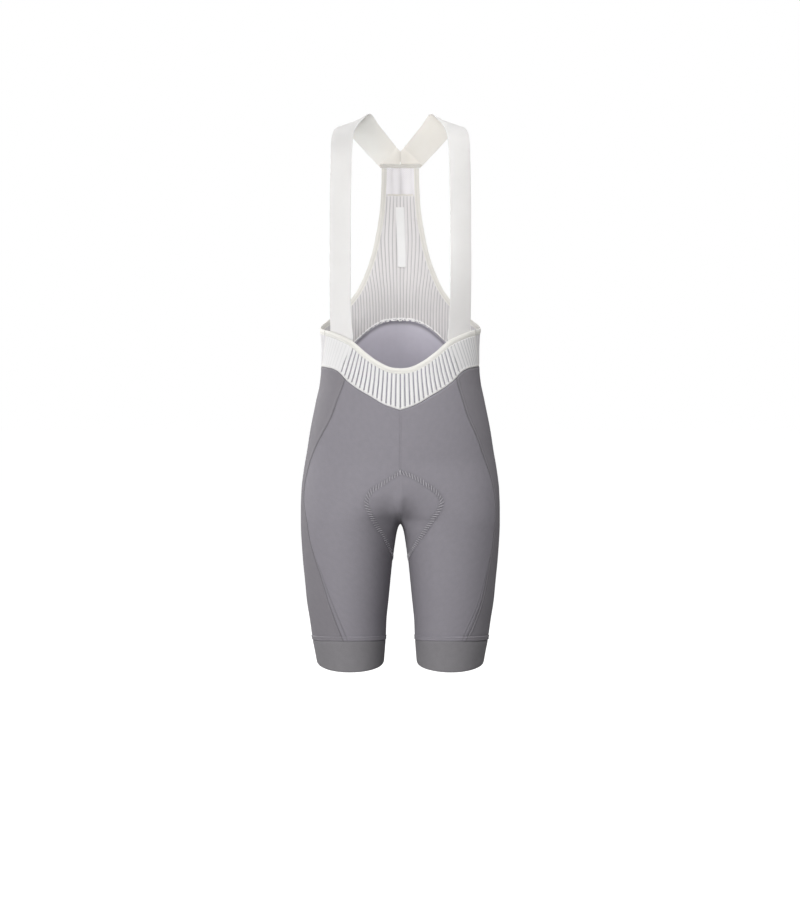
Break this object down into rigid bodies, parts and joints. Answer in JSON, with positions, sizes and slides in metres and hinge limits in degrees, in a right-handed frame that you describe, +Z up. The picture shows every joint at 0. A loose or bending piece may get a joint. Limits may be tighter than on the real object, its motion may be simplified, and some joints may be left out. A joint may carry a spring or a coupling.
{
  "type": "cycling bib shorts",
  "caption": "Hollow worn-shape cycling bib shorts: grey knit legs with ribbed grippers, a curved ribbed mesh waistband, a ribbed mesh back and flat elastic shoulder straps.",
  "frame": {"origin": "midway between the two shoulder straps, 3 mm above their highest edges", "axes": "+Z up the wearer, +X towards the wearer's left, +Y towards the wearer's back; the legs hang down -Z"},
  "size_m": [0.3102, 0.2223, 0.8632],
  "materials": {
    "grey_knit": "smooth grey-violet warp knit with a slight sheen",
    "white_mesh": "ribbed white mesh knit",
    "strap_elastic": "flat soft white elastic",
    "cream_binding": "folded cream elastic tape",
    "label": "plain woven satin"
  },
  "bodies": {
    "root": {"front_left": "grey_knit", "front_right": "grey_knit", "back_left": "grey_knit", "back_right": "grey_knit", "cuff_left": "grey_knit", "cuff_right": "grey_knit", "front_waistband": "white_mesh", "back_bib": "white_mesh", "neck_panel": "white_mesh", "binding_waist": "cream_binding", "binding_left": "cream_binding", "binding_right": "cream_binding", "strap_left": "strap_elastic", "strap_right": "strap_elastic", "strap_lip": "cream_binding", "label": "label"}
  },
  "joints": []
}
